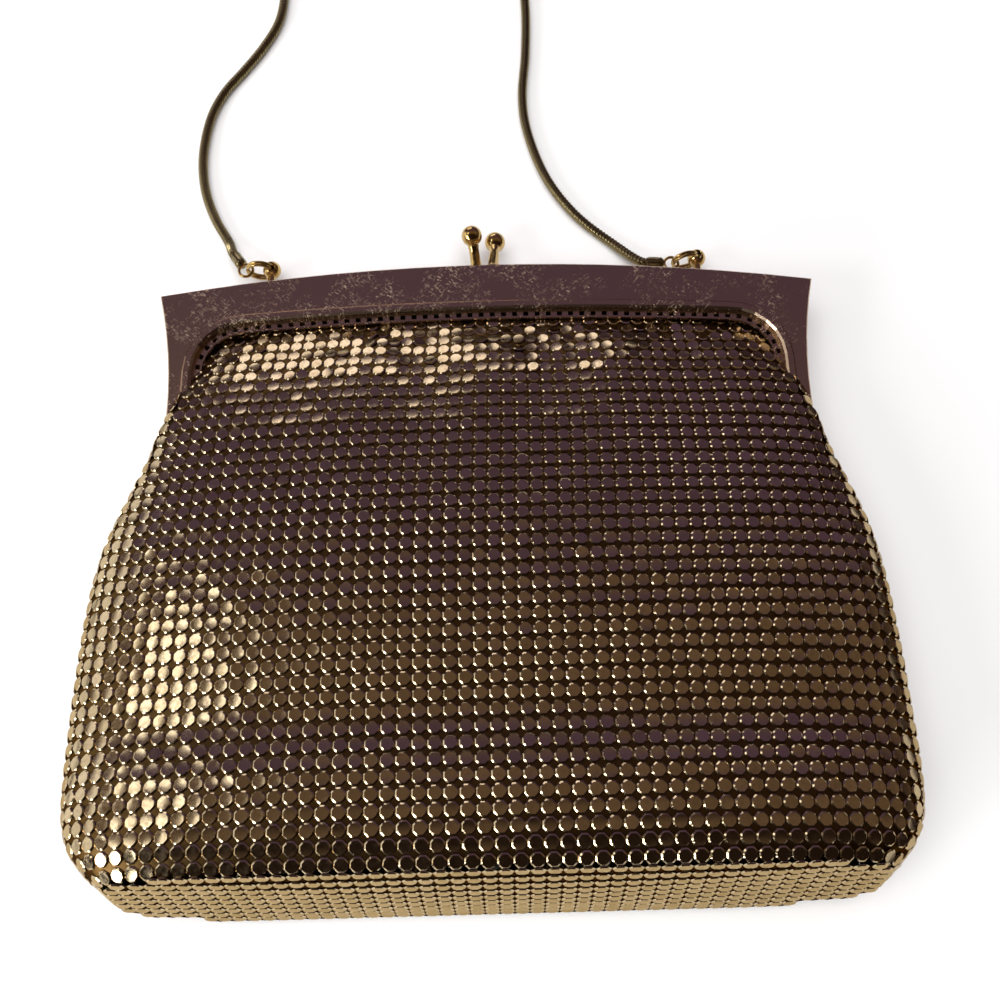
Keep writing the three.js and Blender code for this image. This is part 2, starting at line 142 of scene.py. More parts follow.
# Each box's direction from the purse, distance, width, height, radiance and tint
soft_box("left_window", (-0.62, 0.14, 0.77), 0.9, 0.27, 0.22, 2.6)
soft_box("left_wall", (-0.94, 0.08, 0.26), 0.9, 0.95, 0.42, 1.2)
soft_box("near_left_panel", (-0.70, -0.65, 0.30), 0.9, 0.42, 0.16, 18.0)
soft_box("side_left_panel", (-0.76, -0.33, 0.50), 0.9, 0.30, 0.18, 12.0)
soft_box("far_wall", (-0.24, 0.90, 0.34), 1.0, 0.56, 0.30, 1.9, "#FFF8FA")
overhead = soft_box("overhead", (0, 0, 1), 1.2, 1.6, 1.6, 2.4)
overhead.visible_glossy = False

# The dim room: brown above, violet towards the far side and almost black low down and towards the near
# one, in linear values
room_brown = (0.178, 0.122, 0.085, 1)
room_violet = (0.115, 0.074, 0.142, 1)
room_near = (0.022, 0.013, 0.010, 1)
room_low = (0.030, 0.018, 0.018, 1)
world = bpy.data.worlds.new("dim_room")
world.use_nodes = True
world.node_tree.nodes.clear()
direction = add(world.node_tree, "ShaderNodeTexCoord")
heading = add(world.node_tree, "ShaderNodeSeparateXYZ", {"Vector": direction.outputs["Generated"]})
far_share = add(world.node_tree, "ShaderNodeMapRange", {
    "Value": heading.outputs["Y"], "From Min": 0.28, "From Max": 0.44})
far_tone = add(world.node_tree, "ShaderNodeMix", {
    "Factor": far_share.outputs[0], 6: room_brown, 7: room_violet}, data_type="RGBA")
near_share = add(world.node_tree, "ShaderNodeMapRange", {
    "Value": heading.outputs["Y"], "From Min": -0.03, "From Max": -0.20})
near_tone = add(world.node_tree, "ShaderNodeMix", {
    "Factor": near_share.outputs[0], 6: far_tone.outputs[2], 7: room_near}, data_type="RGBA")
height_share = add(world.node_tree, "ShaderNodeMapRange", {
    "Value": heading.outputs["Z"], "From Min": 0.10, "From Max": 0.52})
room_tone = add(world.node_tree, "ShaderNodeMix", {
    "Factor": height_share.outputs[0], 6: room_low, 7: near_tone.outputs[2]}, data_type="RGBA")
room = add(world.node_tree, "ShaderNodeBackground", {"Color": room_tone.outputs[2], "Strength": 1.0})
add(world.node_tree, "ShaderNodeOutputWorld", {"Surface": room.outputs[0]})
bpy.context.scene.world = world


# Mesh bag: stamped plates of gold-plated brass, each with four prongs folded round the small rings
# that link it to its neighbours. It hangs from the perforated strips and is boxed at the bottom.
rng = np.random.default_rng(7)
bag_length = 137        # front panel from its mouth to the crease at the bottom
bag_width = 191.2
bag_depth = 31.4
neck_length = 33.45     # from the mouth to the ends of the frame's legs
neck_half = 78.2        # half the width between the legs
mouth_y = 68.5
mouth_front = 11.6      # height of the front panel at the mouth
mouth_back = 2.8        # and of the back panel
frame_mid = 7.2         # height of the parting between the jaws
bottom_lean = 0.37      # the bottom panel leans out by this share of its depth
bottom_puff = 1.3
back_sag = 0.6          # flattening of the back panel on the surface
back_round = 3          # exponent of the back's curve
widest_share = 0.41     # height of the widest place as a share of the depth
ripple_height = 2.7     # soft gathers below the frame, times the front's share of its swell
ripple_width = 5.2
ripple_end = 1.2        # place, as in the table below, where the gathers have died away
bag_drift = 1.4         # the full part of the bag lies this far to the left

# Sections from the mouth (at 0) past the legs' ends (1) to the crease (2). wide, front and mid are
# shares of the swell from the neck to the full width, depth and height of the widest place; lift
# and lean are shares of the back panel's and the bottom's rise; round is the front curve's exponent.
columns = ("at", "wide", "front", "mid", "lift", "lean", "round")
sections = np.array([
    (0.00, -0.30, 0.00, 0.00, 1.00, 0.00, 2.5),
    (0.09, -0.20, 0.00, 0.00, 1.00, 0.00, 2.5),
    (0.25, -0.06, 0.14, 0.00, 0.36, 0.00, 2.5),
    (0.43, -0.02, 0.27, 0.30, 0.00, 0.00, 2.4),
    (0.55, -0.02, 0.34, 0.70, 0.00, 0.00, 2.3),
    (0.65, 0.00, 0.39, 1.02, 0.00, 0.00, 2.2),
    (0.77, 0.09, 0.44, 1.20, 0.00, 0.00, 2.2),
    (0.88, 0.16, 0.48, 1.26, 0.00, 0.00, 2.2),
    (1.00, 0.24, 0.53, 1.26, 0.00, 0.00, 2.3),
    (1.06, 0.32, 0.58, 1.22, 0.00, 0.00, 2.3),
    (1.10, 0.41, 0.62, 1.15, 0.00, 0.00, 2.5),
    (1.17, 0.58, 0.69, 1.05, 0.00, 0.00, 2.5),
    (1.26, 0.795, 0.76, 1.00, 0.00, 0.02, 2.5),
    (1.37, 0.915, 0.81, 1.00, 0.00, 0.06, 2.6),
    (1.48, 0.967, 0.85, 1.00, 0.00, 0.16, 2.7),
    (1.60, 0.99, 0.865, 1.00, 0.00, 0.32, 2.8),
    (1.70, 1.00, 0.865, 1.00, 0.00, 0.49, 2.9),
    (1.755, 0.987, 0.93, 1.00, 0.00, 0.61, 3.1),
    (1.81, 0.955, 0.995, 1.00, 0.00, 0.72, 3.4),
    (1.85, 0.925, 1.00, 1.00, 0.00, 0.80, 3.7),
    (1.90, 0.845, 1.00, 1.00, 0.00, 0.88, 4.2),
    (1.947, 0.67, 1.00, 1.00, 0.00, 0.95, 5.0),
    (1.98, 0.45, 0.98, 1.00, 0.30, 0.99, 6.0),
    (2.00, 0.26, 0.93, 1.00, 0.95, 1.00, 6.0),
])
fine_at = np.linspace(0, 2, 801)

# The columns are smoothed with a bell curve, and run on past both ends as turned mirror images
soft_reach = 40         # samples on each side
soft_spread = 14.0      # samples
bell = np.exp(-0.5 * (np.arange(-soft_reach, soft_reach + 1) / soft_spread) ** 2)
bell /= bell.sum()
smooth = {}
for i, name in enumerate(columns):
    values = np.interp(fine_at, sections[:, 0], sections[:, i])
    before = 2 * values[0] - values[soft_reach:0:-1]
    after = 2 * values[-1] - values[-2 : -soft_reach - 2 : -1]
    smooth[name] = np.convolve(np.concatenate([before, values, after]), bell, "valid")


def half_outline(at, samples=260):
    """Points round the right half of a section, from the front's middle to the back's, and its drift."""
    row = {name: np.interp(at, fine_at, smooth[name]) for name in columns[1:]}
    half = neck_half + (bag_width / 2 - neck_half) * row["wide"]
    front = mouth_front + (bag_depth - mouth_front) * row["front"]
    mid = frame_mid + (bag_depth * widest_share - frame_mid) * row["mid"]
    back = mouth_back * row["lift"]
    sag = back_sag * (1 - min(1, row["lift"]))
    angle = np.linspace(math.pi / 2, -math.pi / 2, samples)
    side, rise = np.abs(np.cos(angle)), np.sin(angle)
    power = np.where(rise > 0, 2 / row["round"], 2 / back_round)
    x = half * side**power
    height = np.abs(rise) ** power
    gathered = ripple_height * max(0, 1 - at / ripple_end) * row["front"]
    above = mid + (front - mid + gathered * np.cos(x / ripple_width)) * height
    below = np.maximum(back, mid - (mid - back + sag) * height)
    z = np.where(rise > 0, above, below)
    along = neck_length * min(1, at) + (bag_length - neck_length) * max(0, at - 1)
    y = mouth_y - along - bottom_lean * row["lean"] * (front - z)
    drift = bag_drift * max(0, row["wide"])
    return np.stack([x, y, z], 1), drift


# The plates' lattice: whole rows from just below the strip to the crease, and columns from the
# front's middle, side by side, round to the back's
plate_pitch = 3.33      # across the bag
mouth_pitch = 3.12      # gathered at the mouth
free_from = 1.1         # place from which the gathers are let out
row_pitch = 3.38        # down the bag
top_row_at = 0.06
column_count = 66       # at most, on one half
front_share = 0.56      # share of a half row on the front, whose columns keep the plain pitch
spare_room = 0.25       # a row gets one more plate where it has more than this over half a pitch

middle_line = np.array([half_outline(at)[0][0] for at in fine_at])
down = np.concatenate([[0], np.cumsum(np.linalg.norm(np.diff(middle_line, axis=0), axis=1))])
first_row = np.interp(top_row_at, fine_at, down)
row_count = int((down[-1] - first_row) / row_pitch)
row_pitch = (down[-1] - first_row) / row_count


def lattice(row):
    """Places at half steps along one row of the bag's right half, its count of plates and its drift."""
    at = np.interp(first_row + row * row_pitch, down, fine_at)
    points, drift = half_outline(at)
    around = np.concatenate([[0], np.cumsum(np.linalg.norm(np.diff(points, axis=0), axis=1))])
    pitch = mouth_pitch + (plate_pitch - mouth_pitch) * min(1, max(0, at / free_from))
    used = max(1, round(around[-1] / pitch - spare_room))
    free = around[-1] * front_share
    plain = (np.arange(column_count * 2 + 1) / 2) * pitch
    eased = free + (plain - free) * (around[-1] - free) / max(used * pitch - free, 1)
    place = np.where(plain > free, eased, plain)
    spots = np.stack([np.interp(place, around, points[:, axis]) for axis in range(3)], 1)
    return spots, used, drift


half_rows = zip(*(lattice(row / 2) for row in range(2 * row_count + 1)))
grid, counts, drifts = (np.array(column) for column in half_rows)


def unit(directions):
    """Each row made one long."""
    return directions / np.linalg.norm(directions, axis=1)[:, None]


def seats(row_from, step_from):
    """Every second half row and half step of the lattice from the first ones on, as far as the rows go.

    Gives the rows, the steps, and each seat's middle, its directions across and along the bag, and
    its outward normal, for the right half and then for the left.
    """
    rows, steps = np.meshgrid(np.arange(row_from, 2 * row_count, 2),
                              np.arange(step_from, 2 * column_count, 2), indexing="ij")
    kept = steps < 2 * counts[rows]
    rows, steps = rows[kept], steps[kept]
    mirror = np.array([-1, 1, 1])
    beside = np.where((steps < 1)[:, None], mirror, 1)
    across = unit(grid[rows, steps + 1] - grid[rows, np.abs(steps - 1)] * beside)
    along = unit(grid[rows - 1, steps] - grid[rows + 1, steps])
    normal = unit(np.cross(across, along))
    along = np.cross(normal, across)
    middle, drift = grid[rows, steps], drifts[rows, None] * [1, 0, 0]
    return rows, steps, (np.concatenate([middle - drift, middle * mirror - drift]),
                         np.concatenate([across, -across * mirror]),
                         np.concatenate([along, along * mirror]),
                         np.concatenate([normal, normal * mirror]))


def joined_copies(name, pattern, middles, acrosses, alongs, normals):
    """One mesh of many copies of a small pattern mesh, each in its own seat, with a random shade each."""
    vertices = np.array([v.co for v in pattern.vertices]) / mm
    faces = [list(p.vertices) for p in pattern.polygons]
    count, size = len(middles), len(vertices)
    placed = (middles[:, None] + vertices[None, :, :1] * acrosses[:, None]
              + vertices[None, :, 1:2] * alongs[:, None] + vertices[None, :, 2:] * normals[:, None])
    copy = np.arange(count)[:, None]
    corners = np.concatenate(faces)
    starts = np.cumsum([0] + [len(face) for face in faces[:-1]]) + copy * len(corners)
    mesh = bpy.data.meshes.new(name)
    mesh.vertices.add(count * size)
    mesh.vertices.foreach_set("co", (placed.reshape(-1, 3) * mm).astype(np.float32).ravel())
    mesh.loops.add(count * len(corners))
    mesh.loops.foreach_set("vertex_index", (corners + copy * size).ravel().astype(np.int32))
    mesh.polygons.add(count * len(faces))
    mesh.polygons.foreach_set("loop_start", starts.ravel().astype(np.int32))
    mesh.update(calc_edges=True)
    shade = mesh.attributes.new("shade", "FLOAT", "POINT")
    shade.data.foreach_set("value", np.repeat(rng.random(count), size).astype(np.float32))
    piece = bpy.data.objects.new(name, mesh)
    bpy.context.scene.collection.objects.link(piece)
    nothing_selected()
    piece.select_set(True)
    bpy.context.view_layer.objects.active = piece
    bpy.ops.object.shade_smooth_by_angle(angle=math.radians(31))
    return piece


def pick(piece, test):
    """Edit mode with just the vertices selected whose place, in millimetres, passes the test."""
    nothing_selected()
    piece.select_set(True)
    bpy.context.view_layer.objects.active = piece
    bpy.ops.object.mode_set(mode="EDIT")
    bpy.ops.mesh.select_mode(type="VERT")
    bpy.ops.mesh.select_all(action="DESELECT")
    bpy.ops.object.mode_set(mode="OBJECT")
    for v in piece.data.vertices:
        v.select = test(v.co / mm)
    bpy.ops.object.mode_set(mode="EDIT")


# One plate: a square with its corners rounded off towards an octagon, bevelled and a little domed
plate_half = 1.60
plate_corner = 0.98
corner_profile = 0.27
plate_bevel = 0.31
plate_drop = 0.22       # height of the bevel
plate_thick = 0.34
plate_crown = 0.075     # height of the dome
plate_under = 0.08      # the dome's foot lies this far inside the bag's outline
nothing_selected()
bpy.ops.mesh.primitive_plane_add(
    size=2 * plate_half * mm, location=(0, 0, -(plate_thick + plate_under) * mm))
bpy.ops.object.transform_apply(location=True, rotation=False, scale=False)
plate = bpy.context.object
bpy.ops.object.mode_set(mode="EDIT")
bpy.ops.mesh.select_all(action="SELECT")
bpy.ops.mesh.bevel(offset=plate_corner * mm, segments=2, profile=corner_profile, affect="VERTICES")
bpy.ops.mesh.select_all(action="SELECT")
bpy.ops.mesh.flip_normals()
bpy.ops.mesh.extrude_region_move(TRANSFORM_OT_translate={"value": (0, 0, (plate_thick - plate_drop) * mm)})
bpy.ops.mesh.inset(thickness=plate_bevel * mm, depth=0)
bpy.ops.transform.translate(value=(0, 0, plate_drop * mm))
bpy.ops.mesh.poke(offset=plate_crown * mm)
bpy.ops.object.mode_set(mode="OBJECT")

# One linking ring with the four prongs folded round it. So little of them shows in the gap between
# four plates that they are drawn as one low, eight-sided boss.
link_radius = 1.95      # before its edge is cut off
link_flat = 0.15        # thickness, as a share of the width
link_depth = 0.66       # below the bag's outline
nothing_selected()
bpy.ops.mesh.primitive_uv_sphere_add(segments=8, ring_count=3, radius=link_radius * mm)
link = bpy.context.object
pick(link, lambda at: True)
bpy.ops.transform.resize(value=(1, 1, link_flat))
bpy.ops.transform.translate(value=(0, 0, -link_depth * mm))
bpy.ops.object.mode_set(mode="OBJECT")

# Each plate tips a little on its rings, more so where the mesh is gathered below the frame
slack = 0.028           # usual slope of a plate to the bag's outline
mouth_slack = 0.075     # added at the mouth
slack_rows = 5.0        # rows over which that dies away
rows, steps, (middles, acrosses, alongs, normals) = seats(1, 1)
loose = np.tile(slack + mouth_slack * np.exp(-((rows / 2) / slack_rows) ** 2), 2)
tip_across, tip_along = rng.normal(size=(2, len(loose))) * loose
normals = unit(normals + acrosses * tip_across[:, None] + alongs * tip_along[:, None])
acrosses = unit(acrosses - normals * np.sum(acrosses * normals, axis=1)[:, None])
tipped = (middles, acrosses, np.cross(normals, acrosses), normals)

# Polished gold-plated brass: a clear, slightly hazy mirror, warm and a little uneven in tone from
# plate to plate, with rubbed spots and faint dents
haze_size = 1.1
dent_depth = 0.02
plated_brass, tree = new_material("polished_gold_plated_brass")
place = add(tree, "ShaderNodeTexCoord")
shade = add(tree, "ShaderNodeAttribute", attribute_name="shade")
haze = add(tree, "ShaderNodeTexNoise", {
    "Vector": place.outputs["Object"], "Scale": 1 / (haze_size * mm), "Detail": 3})
tone = add(tree, "ShaderNodeMix", {
    "Factor": shade.outputs["Fac"], 6: colour("#B5A382"), 7: colour("#C4B292")}, data_type="RGBA")
worn = add(tree, "ShaderNodeMapRange", {
    "Value": haze.outputs["Fac"], "From Min": 0.45, "From Max": 0.75, "To Min": 0.0, "To Max": 0.35})
mixed = add(tree, "ShaderNodeMix", {
    "Factor": worn.outputs[0], 6: tone.outputs[2], 7: colour("#94805A")}, data_type="RGBA")
gloss = add(tree, "ShaderNodeMapRange", {
    "Value": haze.outputs["Fac"], "From Min": 0.3, "From Max": 0.7, "To Min": 0.10, "To Max": 0.22})
bump = add(tree, "ShaderNodeBump", {
    "Height": haze.outputs["Fac"], "Strength": 0.25, "Distance": dent_depth * mm})
brass = add(tree, "ShaderNodeBsdfPrincipled", {
    "Base Color": mixed.outputs[2], "Metallic": 1.0, "Roughness": gloss.outputs[0],
    "Normal": bump.outputs[0], "Specular Tint": colour("#C8B8A0")})
add(tree, "ShaderNodeOutputMaterial", {"Surface": brass.outputs[0]})

front_reach = 104       # the front's plates go this far round from its middle
on_front = np.tile(steps, 2) * plate_pitch / 2 < front_reach
for name, chosen in (("mesh_front", on_front), ("mesh_back", ~on_front)):
    piece = joined_copies(name, plate.data, *(values[chosen] for values in tipped))
    piece.data.materials.append(plated_brass)
    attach(piece, "root")
    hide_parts("mesh_bag")

# Bottom panel: the same plates carried on over the crease to the surface, each row with one more
# plate at either end, set against the bag's side
panel_rows = 9
panel_foot = 3.3        # height of the lowest row's lower edge
puff_half = 83          # half the width over which the panel puffs out
end_room = 0.35         # least room for the end plate, as a share of the pitch
end_inset = 0.42        # its middle's distance from the edge, as a share of the pitch
crease, crease_drift = half_outline(2.0)
top_z = crease[0][2]
panel_pitch = (top_z - panel_foot) / panel_rows
spots = []
for z in top_z - (np.arange(panel_rows) + 0.5) * panel_pitch:
    edge_x = np.interp(-z, -crease[:, 2], crease[:, 0])
    full = int(edge_x / plate_pitch - end_room)
    xs = [(step + 0.5) * plate_pitch for step in range(full)] + [edge_x - end_inset * plate_pitch]
    spots += [(side * x, z) for x in xs for side in (-1, 1)]


def panel_seats(spots):
    """Seats on the bottom panel, which leans back and puffs out a little."""
    xs, zs = np.array(spots).T
    share = np.maximum(np.abs(xs) / puff_half, np.abs(zs - top_z / 2) / (top_z / 2))
    ys = crease[0][1] - bottom_lean * (top_z - zs) - bottom_puff * (1 - np.minimum(share, 1) ** 2)
    right = Vector((1, 0, 0))
    out = Vector((0, -1, bottom_lean)).normalized()
    facing = (right, out.cross(right), out)
    return [np.stack([xs - crease_drift, ys, zs], 1), *(np.tile(side, (len(xs), 1)) for side in facing)]


panel = joined_copies("mesh_bottom", plate.data, *panel_seats(spots))
panel.data.materials.append(plated_brass)
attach(panel, "root")

# The rings lie in the plates' shade, painted into their colour: drawn brass painted dark, in an uneven
# mottle, duller than the plates
ring_mottle_size = 2
painted_shade_ring_brass, tree = new_material("brass_rings_painted_shade")
place = add(tree, "ShaderNodeTexCoord")
ring_mottle = add(tree, "ShaderNodeTexNoise", {
    "Vector": place.outputs["Object"], "Scale": 1 / (ring_mottle_size * mm), "Detail": 2})
# Painted shade: both tones, and the edge tint below, are darkened for the shade the plates cast on the rings
painted_shade_ring_tone = add(tree, "ShaderNodeMix", {
    "Factor": ring_mottle.outputs["Fac"], 6: colour("#6A5230"), 7: colour("#4A3820")}, data_type="RGBA")
dull = add(tree, "ShaderNodeBsdfPrincipled", {
    "Base Color": painted_shade_ring_tone.outputs[2], "Metallic": 1.0, "Roughness": 0.42,
    "Specular Tint": colour("#5A4630")})
add(tree, "ShaderNodeOutputMaterial", {"Surface": dull.outputs[0]})

# One ring between every four plates. The middle column has no twin on the left.
rows, steps, ring_seats = seats(2, 0)
once = np.concatenate([steps >= 0, steps > 0])
below = {(math.copysign(round(abs(x) / plate_pitch - 0.5) * plate_pitch, x), z - panel_pitch / 2)
         for x, z in spots}
ring_seats = [np.concatenate([values[once], panel_values])
              for values, panel_values in zip(ring_seats, panel_seats(sorted(below)))]
links = joined_copies("mesh_rings", link.data, *ring_seats)
links.data.materials.append(painted_shade_ring_brass)
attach(links, "root")
for pattern in (plate, link):
    bpy.data.objects.remove(pattern)


# Frame: two jaws pressed from sheet brass, with a satin gold wash. They are the CAD's own pieces, and
# turn on the pins at the ends of their legs.

# Satin gold-washed brass: a soft, dim mirror. Where the wash is worn, in broad patches, criss-cross
# scratches are rougher and bumped, and painted near-white in broken spots: partly worn wash and partly
# painted glints. They are finer on the real frame, and drawn wide enough to show.
patch_size = 9
scratch_length = 1.7
scratch_width = 0.20
scratch_depth = 0.1
painted_glint_size = 0.9
satin_brass, tree = new_material("satin_gold_washed_brass")
place = add(tree, "ShaderNodeTexCoord")
patches = add(tree, "ShaderNodeTexNoise", {
    "Vector": place.outputs["Object"], "Scale": 1 / (patch_size * mm), "Detail": 3})
patch_share = add(tree, "ShaderNodeMapRange", {
    "Value": patches.outputs["Fac"], "From Min": 0.44, "From Max": 0.70})
scratches = []
for slant in (47, -41):
    slanted = add(tree, "ShaderNodeMapping", {
        "Vector": place.outputs["Object"], "Rotation": (0, 0, math.radians(slant)),
        "Scale": (scratch_length * mm, scratch_width * mm, scratch_length * mm)}, vector_type="TEXTURE")
    line = add(tree, "ShaderNodeTexNoise", {"Vector": slanted.outputs[0], "Scale": 1.0, "Detail": 1})
    scratches.append(add(tree, "ShaderNodeMapRange", {
        "Value": line.outputs["Fac"], "From Min": 0.63, "From Max": 0.70}))
scratch = add(tree, "ShaderNodeMath", {
    0: scratches[0].outputs[0], 1: scratches[1].outputs[0]}, operation="MAXIMUM")
# Painted glints: a fine noise breaks the scratches into short spots of near-white colour
painted_glint_noise = add(tree, "ShaderNodeTexNoise", {
    "Vector": place.outputs["Object"], "Scale": 1 / (painted_glint_size * mm), "Detail": 1})
painted_glint = add(tree, "ShaderNodeMapRange", {
    "Value": painted_glint_noise.outputs["Fac"], "From Min": 0.42, "From Max": 0.62, "To Max": 1.6})
painted_glint_in_patches = add(tree, "ShaderNodeMath", {
    0: painted_glint.outputs[0], 1: patch_share.outputs[0]}, operation="MULTIPLY")
scratch_and_painted_glint_share = add(tree, "ShaderNodeMath", {
    0: scratch.outputs[0], 1: painted_glint_in_patches.outputs[0]}, operation="MULTIPLY", use_clamp=True)
# The scratches' near-white tone is partly worn wash and partly painted glints
frame_tone_with_painted_glints = add(tree, "ShaderNodeMix", {
    "Factor": scratch_and_painted_glint_share.outputs[0], 6: colour("#BAA289"), 7: colour("#F6E2CC")}, data_type="RGBA")
frame_gloss = add(tree, "ShaderNodeMapRange", {
    "Value": scratch_and_painted_glint_share.outputs[0], "To Min": 0.26, "To Max": 0.75})
frame_bump = add(tree, "ShaderNodeBump", {
    "Height": scratch_and_painted_glint_share.outputs[0], "Strength": 0.6, "Distance": scratch_depth * mm})
satin = add(tree, "ShaderNodeBsdfPrincipled", {
    "Base Color": frame_tone_with_painted_glints.outputs[2], "Metallic": 1.0, "Roughness": frame_gloss.outputs[0],
    "Normal": frame_bump.outputs[0]})
add(tree, "ShaderNodeOutputMaterial", {"Surface": satin.outputs[0]})

# Bright gold-plated brass: turned and polished, a clear warm mirror with small rubbed spots
wear_size = 0.8
bright_brass, tree = new_material("bright_gold_plated_brass")
place = add(tree, "ShaderNodeTexCoord")
wear = add(tree, "ShaderNodeTexNoise", {
    "Vector": place.outputs["Object"], "Scale": 1 / (wear_size * mm), "Detail": 3})
bright_tone = add(tree, "ShaderNodeMix", {
    "Factor": wear.outputs["Fac"], 6: colour("#D9BE85"), 7: colour("#B08F4E")}, data_type="RGBA")
bright_gloss = add(tree, "ShaderNodeMapRange", {"Value": wear.outputs["Fac"], "To Min": 0.06, "To Max": 0.26})
bright = add(tree, "ShaderNodeBsdfPrincipled", {
    "Base Color": bright_tone.outputs[2], "Metallic": 1.0, "Roughness": bright_gloss.outputs[0]})
add(tree, "ShaderNodeOutputMaterial", {"Surface": bright.outputs[0]})

for name, material, slot in (("jaw_front", satin_brass, "frame_gold"),
                             ("jaw_back", satin_brass, "frame_gold"),
                             ("hinge_pin_left", bright_brass, "bright_gold"),
                             ("hinge_pin_right", bright_brass, "bright_gold")):
    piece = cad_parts[name]
    piece.data.materials.clear()
    piece.data.materials.append(material)


# Knobs: two bright balls on tapering stems, turned from brass and riveted into the frame's top edge.
# They lean past each other and snap shut.
def turned(name, profile, foot, heading, material):
    """A lathe-turned piece: radii and heights in millimetres, turned about a heading from its foot."""
    mesh = bpy.data.meshes.new(name)
    edges = [(i, i + 1) for i in range(len(profile) - 1)]
    mesh.from_pydata([(r * mm, 0, h * mm) for r, h in profile], edges, [])
    piece = bpy.data.objects.new(name, mesh)
    bpy.context.scene.collection.objects.link(piece)
    pick(piece, lambda at: True)
    bpy.ops.mesh.spin(steps=32, angle=2 * math.pi, axis=(0, 0, 1), center=(0, 0, 0))
    bpy.ops.mesh.select_all(action="SELECT")
    bpy.ops.mesh.remove_doubles(threshold=0.002 * mm)
    bpy.ops.mesh.normals_make_consistent(inside=False)
    bpy.ops.object.mode_set(mode="OBJECT")
    turn = Vector(heading).to_track_quat("Z", "Y").to_matrix().to_4x4()
    mesh.transform(Matrix.Translation(Vector(foot) * mm) @ turn)
    bpy.ops.object.shade_smooth_by_angle(angle=math.radians(35))
    mesh.materials.append(material)
    return piece


def fitted(piece, node):
    """Rides the finished piece on the purse in place of a CAD node."""
    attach(piece, "root")
    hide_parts(node)


# A collar on the frame, a tapering stem and a ball
knob_ball = 2.8
knob_neck = -58         # latitude in degrees at which the ball meets the stem
knob_steps = 14
knob_lathe = ((0, 0), (1.75, 0), (1.9, 0.15), (1.9, 0.5), (1.7, 0.95), (1.6, 1.0), (1.55, 1.6),
              (1.45, 4.5), (1.38, 7.5), (1.35, 9.1), (1.5, 9.5), (1.5, 9.9), (1.4, 10.1))
for name, foot, top in (("back", (-2.0, 81.35, 4.1), (-3.6, 92.95, 8.9)),
                        ("front", (1.9, 81.35, 10.3), (2.7, 92.95, 5.4))):
    heading = Vector(top) - Vector(foot)
    profile = list(knob_lathe)
    for step in range(1, knob_steps + 1):
        angle = math.radians(knob_neck + (90 - knob_neck) * step / knob_steps)
        profile.append((max(0, knob_ball * math.cos(angle)), heading.length + knob_ball * math.sin(angle)))
    knob = turned("knob_" + name, profile, foot, heading, bright_brass)
    fitted(knob, "clasp_knob_" + name)


# Handle ends: each stud is a drilled ball on a short post, riveted into the frame's top edge. A double
# jump ring of drawn wire runs through it and through the soldered eye of the chain's end cap.
def bent_ring(name, middle, axis, radius, wire, gap, material):
    """Round wire bent into a ring, its two ends meeting at a fine gap given in degrees."""
    nothing_selected()
    bpy.ops.mesh.primitive_circle_add(vertices=14, radius=wire * mm, fill_type="NGON",
                                      location=(radius * mm, 0, 0), rotation=(math.pi / 2, 0, 0))
    bpy.ops.object.transform_apply()
    piece = bpy.context.object
    piece.name = piece.data.name = name
    pick(piece, lambda at: True)
    bpy.ops.mesh.spin(steps=48, angle=math.radians(360 - gap), axis=(0, 0, 1), center=(0, 0, 0))
    bpy.ops.mesh.select_all(action="SELECT")
    bpy.ops.mesh.remove_doubles(threshold=0.002 * mm)
    bpy.ops.mesh.normals_make_consistent(inside=False)
    bpy.ops.object.mode_set(mode="OBJECT")
    turn = Vector(axis).to_track_quat("Z", "Y").to_matrix().to_4x4()
    piece.data.transform(Matrix.Translation(Vector(middle) * mm) @ turn)
    bpy.ops.object.shade_smooth_by_angle(angle=math.radians(35))
    piece.data.materials.append(material)
    return piece


def joined(pieces):
    """Joins pieces into the first one, each keeping its material."""
    nothing_selected()
    for piece in pieces:
        piece.select_set(True)
    bpy.context.view_layer.objects.active = pieces[0]
    bpy.ops.object.join()
    return pieces[0]


# Gold-plated brass, for the chain and its caps: darker in colour than the knobs, with the plating rubbed
# unevenly
rub_size = 1.5
chain_brass, tree = new_material("gold_plated_brass_chain")
place = add(tree, "ShaderNodeTexCoord")
rub = add(tree, "ShaderNodeTexNoise", {
    "Vector": place.outputs["Object"], "Scale": 1 / (rub_size * mm), "Detail": 2})
chain_tone = add(tree, "ShaderNodeMix", {
    "Factor": rub.outputs["Fac"], 6: colour("#978A66"), 7: colour("#6E6040")}, data_type="RGBA")
chain_metal = add(tree, "ShaderNodeBsdfPrincipled", {
    "Base Color": chain_tone.outputs[2], "Metallic": 1.0, "Roughness": 0.24})
add(tree, "ShaderNodeOutputMaterial", {"Surface": chain_metal.outputs[0]})

stud_ball = 2.45
stud_bore = 1.2
bore_half = 1.85        # half the bore's length between its flares
flare_radius = 1.32
flare_half = 1.96
flare_mouth = 1.45      # where the flare meets the ball
crown_y = 81.05         # middle of the frame's top edge
top_arch = 6.8          # rise of that edge from its corners
frame_half = 85.4
ring_radius = 3.5
ring_wire = 0.42
eye_radius = 1.9
eye_wire = 0.4
post_lathe = ((0, -4), (0.9, -4), (0.9, 0.1), (1.35, 0.3), (1.35, 0.8), (1.0, 1.0), (1.0, 6.6), (0, 6.6))
cap_lathe = ((0, 0), (0.7, 0), (0.85, 0.25), (1.35, 0.75), (1.58, 1.1), (1.6, 1.5), (1.48, 1.6),
             (1.48, 1.75), (1.6, 1.85), (1.6, 4.0), (1.48, 4.08), (1.48, 4.2), (1.6, 4.3), (1.6, 4.5),
             (1.5, 4.6), (0, 4.6))

